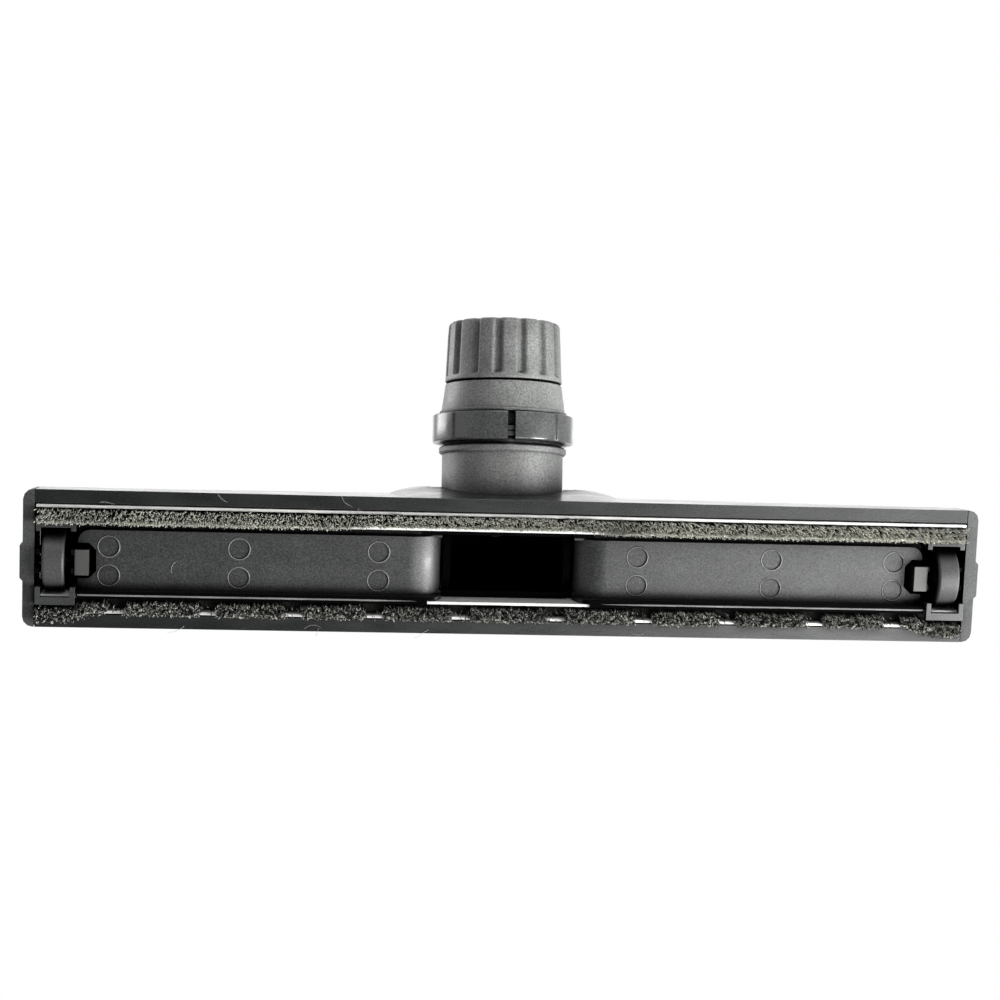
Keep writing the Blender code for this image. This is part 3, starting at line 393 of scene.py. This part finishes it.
def drum_painted_shade(tree):
    """Painted black shade: 1 inside the neck's drum and on its underside, which show in the mouth, and 0 elsewhere.
    """
    place = tree.nodes.new("ShaderNodeTexCoord")
    away = tree.nodes.new("ShaderNodeVectorMath")
    away.operation = "SUBTRACT"
    away.inputs[1].default_value = PIVOT
    across = tree.nodes.new("ShaderNodeVectorMath")
    across.operation = "MULTIPLY"
    across.inputs[1].default_value = (0, 1, 1)
    size = tree.nodes.new("ShaderNodeVectorMath")
    size.operation = "LENGTH"
    tree.links.new(place.outputs["Object"], away.inputs[0])
    tree.links.new(away.outputs[0], across.inputs[0])
    tree.links.new(across.outputs[0], size.inputs[0])
    drum = spread(tree, size.outputs["Value"], 1, 0, *DRUM_SKIN)
    axes = place_axes(tree)
    drum = product(tree, drum, spread(tree, axes["Y"], 1, 0, *(MIDDLE_Y + y for y in DRUM_REAR)))
    drum = product(tree, drum, spread(tree, axes["Z"], 1, 0, *(PIVOT.z + z for z in DRUM_UNDERSIDE)))
    return total(tree, drum, spread(tree, size.outputs["Value"], 1, 0, *DRUM_BORE))


def hollow_shade(tree, distance):
    """Painted shade from ambient occlusion: 1 deep in a hollow and 0 on an open face."""
    node = tree.nodes.new("ShaderNodeAmbientOcclusion")
    node.samples = 6
    node.inputs["Distance"].default_value = distance
    return spread(tree, node.outputs["AO"], 1, 0, 0.4, 0.9)


def plastic(
    name,
    colour,
    roughness,
    grain,
    grain_depth,
    speckle=0.3,
    specular=0.6,
    dust=0.0,
    wear=0.0,
    deep=0.05,
    shade=None,
    pale=None,
):
    """Moulded plastic: a fine grain, uneven colour and gloss, dust in specks, paler worn edges and painted shade in
    hollows.

    shade makes a mask in object space for black painted shade, and pale makes one for a paler colour.
    """
    material, tree, shader = new_material(name)
    dark = tuple(channel * 0.8 for channel in colour)
    light = tuple(channel * 1.3 for channel in colour)
    look = ramp(tree, noise(tree, 60, 6), ((0.35, dark), (0.65, light)))
    look = blend_in(tree, spread(tree, noise(tree, 1300, 3), speckle, 0, 0.38, 0.6), look, (0, 0, 0))
    if dust:
        specks = spread(tree, noise(tree, 1600, 4), 0, dust, 0.5, 0.75)
        look = blend_in(tree, specks, look, DUST_GREY)
    if pale:
        look = blend_in(tree, pale(tree), look, DUST_GREY)
    if wear:
        rubbed = product(tree, worn_edges(tree, 0.0006), spread(tree, noise(tree, 120, 5), 0, wear))
        look = blend_in(tree, rubbed, look, WORN_GREY)
    # Painted shade: hollows and the shade mask go near black, rougher and metallic, so that they mirror almost
    # nothing
    painted_shade = hollow_shade(tree, deep)
    if shade:
        painted_shade = total(tree, painted_shade, shade(tree))
    tree.links.new(blend_in(tree, painted_shade, look, PAINTED_SHADE_BLACK), shader.inputs["Base Color"])
    smear = spread(tree, noise(tree, 180, 5, (0.25, 1, 1)), roughness - 0.06, roughness + 0.06)
    tree.links.new(total(tree, smear, spread(tree, painted_shade, 0, 0.4, 0, 1)), shader.inputs["Roughness"])
    tree.links.new(spread(tree, painted_shade, 0, 1, 0.5, 1), shader.inputs["Metallic"])
    shader.inputs["Specular IOR Level"].default_value = specular
    bump(tree, shader, noise(tree, grain, 3), grain_depth, 0.6)
    return material


def aluminium():
    """Bare extruded metal with fine draw lines along X."""
    material, tree, shader = new_material("bare_aluminium")
    lines = noise(tree, 900, 4, (0.01, 1, 1))
    colours = ((0.3, (0.74, 0.74, 0.72)), (0.7, (0.86, 0.86, 0.84)))
    tree.links.new(ramp(tree, lines, colours), shader.inputs["Base Color"])
    tree.links.new(spread(tree, lines, 0.38, 0.52), shader.inputs["Roughness"])
    shader.inputs["Metallic"].default_value = 0.3
    bump(tree, shader, lines, 0.00003, 0.4)
    return material


def bristle(name, dust, least, scale, steps):
    """Black fibre, with grey dust that gathers on the tips in specks of a given scale and least share."""
    material, tree, shader = new_material(name)
    tips = spread(tree, place_axes(tree)["Z"], 1.0, 0.0, *TIP_DUST)
    clumps = spread(tree, noise(tree, scale, 3), least, 1.0, *steps)
    patches = spread(tree, noise(tree, 28, 3), 0.7, 1.0, 0.35, 0.5)
    share = product(tree, product(tree, tips, clumps), patches)
    black = ramp(tree, noise(tree, 500, 2), ((0.3, (0.006, 0.006, 0.006)), (0.7, (0.02, 0.02, 0.018))))
    tree.links.new(blend_in(tree, share, black, dust), shader.inputs["Base Color"])
    shader.inputs["Roughness"].default_value = 0.75
    shader.inputs["Specular IOR Level"].default_value = 0.25
    bump(tree, shader, noise(tree, 2500, 2), 0.00005, 0.5)
    return material


def node_group(name):
    group = bpy.data.node_groups.new(name, "GeometryNodeTree")
    group.interface.new_socket("Geometry", in_out="INPUT", socket_type="NodeSocketGeometry")
    group.interface.new_socket("Geometry", in_out="OUTPUT", socket_type="NodeSocketGeometry")
    return group, group.nodes.new("NodeGroupInput"), group.nodes.new("NodeGroupOutput")


def cleaning_group():
    """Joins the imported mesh's split corners and drops its stored normals."""
    group, start, end = node_group("join_corners")
    merge = group.nodes.new("GeometryNodeMergeByDistance")
    merge.inputs["Distance"].default_value = CORNER_GAP
    drop = group.nodes.new("GeometryNodeRemoveAttribute")
    drop.inputs["Name"].default_value = "custom_normal"
    group.links.new(start.outputs[0], drop.inputs["Geometry"])
    group.links.new(drop.outputs["Geometry"], merge.inputs["Geometry"])
    group.links.new(merge.outputs["Geometry"], end.inputs[0])
    return group


def shading_group():
    """Smooth faces, with edges sharper than CRISP_ANGLE left crisp."""
    group, start, end = node_group("soft_shading")
    angle = group.nodes.new("GeometryNodeInputMeshEdgeAngle")
    blunt = group.nodes.new("FunctionNodeCompare")
    blunt.operation = "LESS_THAN"
    blunt.inputs[1].default_value = math.radians(CRISP_ANGLE)
    faces = group.nodes.new("GeometryNodeSetShadeSmooth")
    edges = group.nodes.new("GeometryNodeSetShadeSmooth")
    edges.domain = "EDGE"
    group.links.new(angle.outputs["Unsigned Angle"], blunt.inputs[0])
    group.links.new(blunt.outputs[0], edges.inputs["Shade Smooth"])
    group.links.new(start.outputs[0], faces.inputs["Geometry"])
    group.links.new(faces.outputs["Geometry"], edges.inputs["Geometry"])
    group.links.new(edges.outputs["Geometry"], end.inputs[0])
    return group


def soften(obj, groups):
    """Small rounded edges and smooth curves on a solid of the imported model."""
    obj.modifiers.new("join_corners", "NODES").node_group = groups[0]
    flat = obj.modifiers.new("flat_faces", "DECIMATE")
    flat.decimate_type = "DISSOLVE"
    flat.angle_limit = math.radians(FLAT_ANGLE)
    edge = obj.modifiers.new("soft_edges", "BEVEL")
    edge.width = SOFT_EDGE
    edge.segments = 2
    edge.limit_method = "ANGLE"
    edge.angle_limit = math.radians(BEVEL_ANGLE)
    obj.modifiers.new("soft_shading", "NODES").node_group = groups[1]
    normals = obj.modifiers.new("even_normals", "WEIGHTED_NORMAL")
    normals.keep_sharp = True


def new_piece(name, shape, material, body):
    mesh = bpy.data.meshes.new(name)
    bmesh.ops.recalc_face_normals(shape, faces=shape.faces)
    shape.to_mesh(mesh)
    shape.free()
    mesh.materials.append(material)
    obj = link(bpy.data.objects.new(name, mesh))
    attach(obj, body)
    return obj


def join_rings(shape, rings, whole=False):
    """Faces from each ring to the next, and from the last to the first where the run is whole."""
    count = len(rings[0])
    for first, second in zip(rings, rings[1:] + (rings[:1] if whole else [])):
        for number in range(count):
            after = (number + 1) % count
            shape.faces.new((first[number], second[number], second[after], first[after]))


def add_strand(shape, path, width, tip_width):
    """A thin three-sided fibre along a path of points."""
    heading = (path[-1] - path[0]).normalized()
    side = heading.orthogonal().normalized()
    up = heading.cross(side)
    rings = []
    for number, point in enumerate(path):
        size = width + (tip_width - width) * number / (len(path) - 1)
        ring = []
        for corner in range(3):
            turn = 2 * math.pi * corner / 3
            ring.append(shape.verts.new(point + (side * math.cos(turn) + up * math.sin(turn)) * size / 2))
        rings.append(ring)
    for lower, upper in zip(rings, rings[1:]):
        for corner in range(3):
            after = (corner + 1) % 3
            shape.faces.new((lower[corner], lower[after], upper[after], upper[corner]))
    shape.faces.new(rings[0][::-1])
    shape.faces.new(rings[-1])


def add_block(shape, low, high):
    middle = (Vector(low) + Vector(high)) / 2
    size = Vector(high) - Vector(low)
    matrix = Matrix.Translation(middle) @ Matrix.Diagonal((*size, 1))
    bmesh.ops.create_cube(shape, size=1, matrix=matrix)


def ease(value, start, end):
    share = min(max((value - start) / (end - start), 0), 1)
    return share * share * (3 - 2 * share)


def in_gap(x):
    """True where the front brush is cut away. Each gap sits a little off its even place."""
    middles = [(number - 4.5) * GAP_PITCH + shift for number, shift in enumerate(GAP_SHIFTS)]
    return any(abs(x - middle) < GAP_WIDTH / 2 for middle in middles)


def make_brush(side, material):
    """A full strip of fibres in its rail. The rear one leans to the front but for a stretch beside the mouth."""
    name = "rear" if side > 0 else "front"
    low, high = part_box(f"{name}_brush")
    rail_low, rail_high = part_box(f"{name}_rail")
    middle = (rail_low.y + rail_high.y) / 2
    chance = random.Random(BRUSH_SEED + side)
    shape = bmesh.new()
    add_block(shape, (low.x, middle - BACKING_HALF, BACKING_LOW), (high.x, middle + BACKING_HALF, high.z))
    for _ in range(STRANDS):
        x = chance.uniform(low.x + BRUSH_INSET, high.x - BRUSH_INSET)
        across = chance.uniform(-1, 1)
        if side < 0 and in_gap(x) and chance.random() < GAP_CLEARED:
            continue
        if chance.random() < FRONT_ROW_SHARE:
            across = -1 + FRONT_ROW_BAND * chance.random()
        y = across * ROOT_HALF
        tip_y = across * TIP_HALF + chance.gauss(0, TIP_STRAY_Y)
        if side < 0 and abs(x) > SPLAY_RANGE[0]:
            splay = ease(abs(x), *SPLAY_RANGE) * chance.random()
            if abs(x) > TUCK_START:
                y = TUCK_Y + across * TUCK_HALF
            tip_y = y - SPLAY_SHIFT - SPLAY_REACH * splay
        elif side > 0:
            tip_y -= REAR_LEAN * max(ease(x, *LEAN_LEFT), ease(-x, *LEAN_RIGHT)) * (0.7 - 0.3 * across)
        else:
            tip_y -= FRONT_LEAN
        root = Vector((x, middle + y, BACKING_LOW + ROOT_SINK))
        tip_x = x + chance.gauss(0, TIP_STRAY_X)
        tip = Vector((tip_x, middle + tip_y, abs(chance.gauss(0, TIP_STRAY_Z)) + TIP_LOW))
        bow = Vector((chance.gauss(0, BOW_STRAY), chance.gauss(0, BOW_STRAY), 0))
        add_strand(shape, (root, (root + tip) / 2 + bow, tip), STRAND_WIDTH, STRAND_WIDTH * STRAND_TAPER)
    piece = new_piece(f"{name}_bristles", shape, material, "base")
    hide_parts(f"{name}_brush")


def make_lint(material):
    """A few loose fibres caught on the rear rim, the front edge and the sole."""
    chance = random.Random(LINT_SEED)
    rims_low, rims_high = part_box("housing")
    shape = bmesh.new()
    spots = []
    for _ in range(REAR_LINT):
        spots.append((chance.uniform(0.03, 0.17), rims_high.y - 0.0035 - 0.003 * chance.random(), RIM_LINT_LOW))
    for _ in range(FRONT_LINT):
        spots.append((chance.uniform(-0.1, 0.18), rims_low.y + 0.0015, RIM_LINT_LOW))
    spots.append((SOLE_LINT[0], MIDDLE_Y + SOLE_LINT[1], SOLE_LINT[2]))
    for x, y, z in spots:
        heading = chance.uniform(0, 2 * math.pi)
        bend = chance.uniform(-LINT_BEND, LINT_BEND)
        point = Vector((x, y, z))
        path = [point]
        for _ in range(LINT_STEPS):
            point = point + Vector((math.cos(heading), math.sin(heading), 0)) * LINT_STEP
            point.y = max(point.y, rims_low.y - LINT_REACH)
            heading += bend
            path.append(point)
        add_strand(shape, path, LINT_WIDTH, LINT_WIDTH * LINT_TAPER)
    new_piece("lint", shape, material, "base")


def neck_point(radius, turn, along):
    return PIVOT + NECK_X * radius * math.cos(turn) + NECK_Y * radius * math.sin(turn) + NECK_Z * along


def turned(shape, profile, steps, inset=None, start=0.0, end=2 * math.pi):
    """A closed profile of (radius, along) turned about the neck. inset(radius, along, turn) draws a point inward."""
    whole = end - start > 2 * math.pi - 0.0001
    rings = []
    for step in range(steps if whole else steps + 1):
        turn = start + (end - start) * step / steps
        ring = []
        for radius, along in profile:
            drawn = inset(radius, along, turn) if inset else 0
            ring.append(shape.verts.new(neck_point(radius - drawn, turn, along)))
        rings.append(ring)
    join_rings(shape, rings, whole)
    if not whole:
        shape.faces.new(rings[0])
        shape.faces.new(rings[-1][::-1])


def arc(middle, radius, start, end, steps):
    turns = [start + (end - start) * step / steps for step in range(steps + 1)]
    return [(middle[0] + radius * math.cos(turn), middle[1] + radius * math.sin(turn)) for turn in turns]


def smooth(obj, angle):
    obj.data.shade_smooth()
    obj.data.set_sharp_from_angle(angle=math.radians(angle))


def make_nut(material):
    """The fluted nut, with soft groove edges and a rounded top."""
    start, end = 0.074, 0.1001
    foot, top, bore = 0.0254, 0.0243, 0.0187
    edge, crown = 0.0005, 0.0022
    grooves, groove_depth, groove_floor = 15, 0.0018, 0.0215
    phase = math.radians(17.6)

    def radius_at(along):
        return foot + (top - foot) * (along - start) / (end - start)

    def inset(radius, along, turn):
        if radius < groove_floor:
            return 0
        place = ((turn - phase) * grooves / (2 * math.pi)) % 1
        across = 1 - ease(abs(place - 0.5), 0.02, 0.25)
        return groove_depth * across * ease(along, start + 0.0018, start + 0.0031)

    outer = arc((foot - edge, start + edge), edge, -math.pi / 2, 0, 3)
    steps = [0.0015 + 0.0003 * step for step in range(7)] + [0.005 + 0.003 * step for step in range(6)]
    outer += [(radius_at(start + step), start + step) for step in steps]
    outer += arc((top - crown, end - crown), crown, 0.08, math.pi / 2, 6)
    inner = [(bore + 0.0003, end), (bore, end - 0.0003), (bore, 0.0987), (0.0200, 0.0987), (0.0217, 0.0925)]
    inner += [(0.0219, 0.0921), (0.0219, start)]
    shape = bmesh.new()
    turned(shape, outer + inner, 360, inset)
    piece = new_piece("nut_shell", shape, material, "nut")
    smooth(piece, 40)
    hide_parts("clamp_nut")


def make_clip(material):
    """The split ring, drawn in a little between two steps on the side of its slot."""
    start, end = 0.0475, 0.0595
    outside, edge = 0.0307, 0.0008
    step_depth, step_floor = 0.0007, 0.0285
    slot = math.radians(91)
    half_slot = 0.0017 / outside

    def inset(radius, along, turn):
        if radius < step_floor:
            return 0
        degrees = math.degrees(turn) % 360
        return step_depth * ease(degrees, 39.5, 40.5) * (1 - ease(degrees, 132.4, 133.4))

    outer = arc((outside - edge, end - edge), edge, math.pi / 2, 0, 4)
    outer += arc((outside - edge, start + edge), edge, 0, -math.pi / 2, 4)
    inner = [(0.0260, start), (0.0260, 0.0486), (0.0284, 0.0486), (0.0284, 0.0538), (0.0266, 0.0538), (0.0266, end)]
    shape = bmesh.new()
    turned(shape, outer + inner, 420, inset, slot + half_slot, slot - half_slot + 2 * math.pi)
    piece = new_piece("clip_shell", shape, material, "neck")
    smooth(piece, 40)
    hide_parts("clip_ring")


def make_mark_rims(material):
    """The raised rim of each round mould mark on the sole, pale partly for wear and partly as a painted highlight.
    """
    shape = bmesh.new()
    steps, corners = 40, 6
    spots = [(side * place, row) for place in MARK_PLACES for side in (-1, 1) for row in MARK_ROWS]
    for x, row in spots:
        rings = []
        for step in range(steps):
            turn = 2 * math.pi * step / steps
            out = Vector((math.cos(turn), math.sin(turn), 0))
            middle = Vector((x, MIDDLE_Y + row, SOLE_LOW + SEAT)) + out * MARK_RADIUS
            ring = []
            for corner in range(corners):
                bend = math.pi * corner / (corners - 1)
                shift = out * math.cos(bend) * MARK_HALF - Vector((0, 0, MARK_HEIGHT * math.sin(bend)))
                ring.append(shape.verts.new(middle + shift))
            rings.append(ring)
        join_rings(shape, rings, whole=True)
    piece = new_piece("mould_rims", shape, material, "base")
    smooth(piece, 50)


def make_shoulders(material):
    """The smooth roll of the sole plate into the mouth, on each side."""
    front, rear = MIDDLE_Y + SHOULDER_FRONT, MIDDLE_Y + SHOULDER_REAR
    steps = 32
    turns = [math.pi / 2 * step / steps for step in range(steps + 1)]

    def roll(turn, inward):
        x = SHOULDER_START - SHOULDER_REACH * math.sin(turn) + inward * math.sin(turn)
        z = SOLE_LOW + SHOULDER_RISE * (1 - math.cos(turn)) + inward * math.cos(turn)
        return x, z

    outline = [(SHOULDER_START + SHOULDER_LAP, SOLE_LOW - SHOULDER_SKIN)]
    outline += [roll(turn, -SHOULDER_SKIN) for turn in turns]
    outline += [roll(turn, SHOULDER_SHEET) for turn in reversed(turns)]
    outline += [(SHOULDER_START + SHOULDER_LAP, SOLE_LOW + SHOULDER_SHEET)]
    shape = bmesh.new()
    for side in (-1, 1):
        near, far = [[shape.verts.new((side * x, y, z)) for x, z in outline] for y in (front, rear)]
        for number in range(len(outline)):
            shape.faces.new((near[number - 1], near[number], far[number], far[number - 1]))
        shape.faces.new(near)
        shape.faces.new(far[::-1])
    smooth(new_piece("mouth_shoulders", shape, material, "base"), 50)


def make_gussets(material):
    """Carries the humps and the neck's collar down to the rims, so that no ledge is left under them."""
    near, far = COLLAR_HALF, HUMP_END
    half = [(far, WALL_TOP_Y, HUMP_FOOT)]
    for share in (0.75, 0.5, 0.25, 0):
        fall = 1 - math.sqrt(1 - (share * (far - near) / HUMP_LENGTH) ** 2)
        half.append((near + share * (far - near), RIM_HALF * (1 - HUMP_DROP * fall), HUMP_FOOT))
    inner = RIM_HALF - GUSSET_DEPTH
    for name, side in (("rear_gusset", 1), ("front_gusset", -1)):
        stations = half + [(near, RIM_HALF, COLLAR_FOOT)] if side > 0 else half
        stations = stations + [(-x, y, z) for x, y, z in reversed(stations)]
        shape = bmesh.new()
        rings = []
        for x, y, z in stations:
            section = ((y, z), (inner, z), (inner, GUSSET_FOOT), (RIM_HALF, GUSSET_FOOT))
            rings.append([shape.verts.new((x, MIDDLE_Y + side * across, height)) for across, height in section])
        join_rings(shape, rings)
        shape.faces.new(rings[0])
        shape.faces.new(rings[-1])
        smooth(new_piece(name, shape, material, "base"), 30)


def make_rib_beads(material):
    """The thin bead along the sole's front rib, on each side of the mouth. Its pale finish is a painted highlight
    line.
    """
    low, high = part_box("sole_plate")
    corners = 7
    shape = bmesh.new()
    for side in (-1, 1):
        rings = []
        stations = ((RIB_BEAD_START, 0.05), (RIB_BEAD_START + RIB_BEAD_RUN, 1), (high.x - RIB_BEAD_END, 1))
        for x, size in stations:
            ring = []
            for corner in range(corners):
                turn = math.pi * corner / (corners - 1)
                y = low.y + RIB_BEAD_Y + RIB_BEAD_HALF * size * math.cos(turn)
                z = low.z + SEAT - RIB_BEAD_HEIGHT * size * math.sin(turn)
                ring.append(shape.verts.new((side * x, y, z)))
            rings.append(ring)
        join_rings(shape, rings)
        shape.faces.new(rings[0])
        shape.faces.new(rings[-1])
    smooth(new_piece("rib_beads", shape, material, "base"), 50)


def main():
    bpy.context.scene.view_settings.view_transform = "Standard"
    make_camera()
    make_lights()
    make_world()
    make_floor()
    neck = {"speckle": 0.5, "dust": 0.6, "wear": 0.3, "deep": 0.012}
    inner = {"dust": 0.2, "wear": 0.5}
    shell = {"specular": 0.45, "dust": 0.1, "wear": 0.5, "deep": 0.02}
    body = plastic("body_plastic", (0.0115, 0.013, 0.013), 0.26, 1500, 0.00004, **shell)
    plate = plastic("plate_plastic", SOLE_GREY, 0.34, 1200, 0.00004, 0.75, dust=0.5, wear=0.3, shade=mouth_painted_shade)
    bracket = plastic("bracket_plastic", SOLE_GREY, 0.40, 1200, 0.00003, **inner)
    axle_bracket = plastic("axle_bracket_plastic", SOLE_GREY, 0.40, 1200, 0.00003, **inner, pale=paler_block)
    # Pale finish of the mould rims and the rib bead: partly wear, partly painted highlight
    wear_and_highlight = plastic("wear_and_highlight_plastic", (0.22, 0.225, 0.22), 0.4, 1200, 0.00003)
    grained = plastic("grained_plastic", NECK_GREY, 0.5, 1400, 0.00012, **neck)
    elbow = plastic("elbow_plastic", NECK_GREY, 0.5, 1400, 0.00012, **neck, shade=drum_painted_shade)
    cap = plastic("cap_plastic", (0.055, 0.059, 0.057), 0.5, 1400, 0.00005, 0.4, specular=0.4, dust=0.3, wear=0.4)
    wheel = plastic("wheel_plastic", (0.045, 0.047, 0.046), 0.5, 900, 0.0001, dust=0.3, wear=0.5)
    clip = plastic("clip_plastic", (0.08, 0.083, 0.082), 0.22, 900, 0.00003, 0.5, deep=0.012)
    fibre = bristle("front_fibre", (0.80, 0.80, 0.74), 0.0, 900, (0.49, 0.57))
    dusty_fibre = bristle("rear_fibre", (0.85, 0.85, 0.76), 0.45, 1400, (0.40, 0.54))
    finishes = {
        "black_plastic": body,
        "sole_plastic": plate,
        "dark_grey_plastic": grained,
        "glossy_black_plastic": clip,
        "aluminium": aluminium(),
        "bristle": fibre,
        "axle_steel": plastic("steel", (0.4, 0.4, 0.4), 0.35, 1200, 0.00003),
        "seal_rubber": plastic("rubber", (0.02, 0.02, 0.02), 0.7, 1200, 0.00004),
    }
    own = {"neck_elbow": elbow, "collet": bracket}
    for hand in ("left", "right"):
        own[f"{hand}_end_cap"] = cap
        own[f"{hand}_wheel"] = wheel
        own[f"{hand}_wheel_bracket"] = axle_bracket
    groups = (cleaning_group(), shading_group())
    for part in frame["record"]["subparts"]:
        node = frame["nodes"][part["node"]]
        node.data.materials.clear()
        node.data.materials.append(own.get(part["node"], finishes[part["material_slot"]]))
        soften(node, groups)
    make_brush(1, dusty_fibre)
    make_brush(-1, fibre)
    make_lint(plastic("lint_fibre", (0.45, 0.45, 0.42), 0.8, 1200, 0.00003, specular=0.2, deep=0.0003))
    make_nut(grained)
    make_clip(clip)
    make_mark_rims(wear_and_highlight)
    make_shoulders(plate)
    make_gussets(body)
    make_rib_beads(wear_and_highlight)


main()
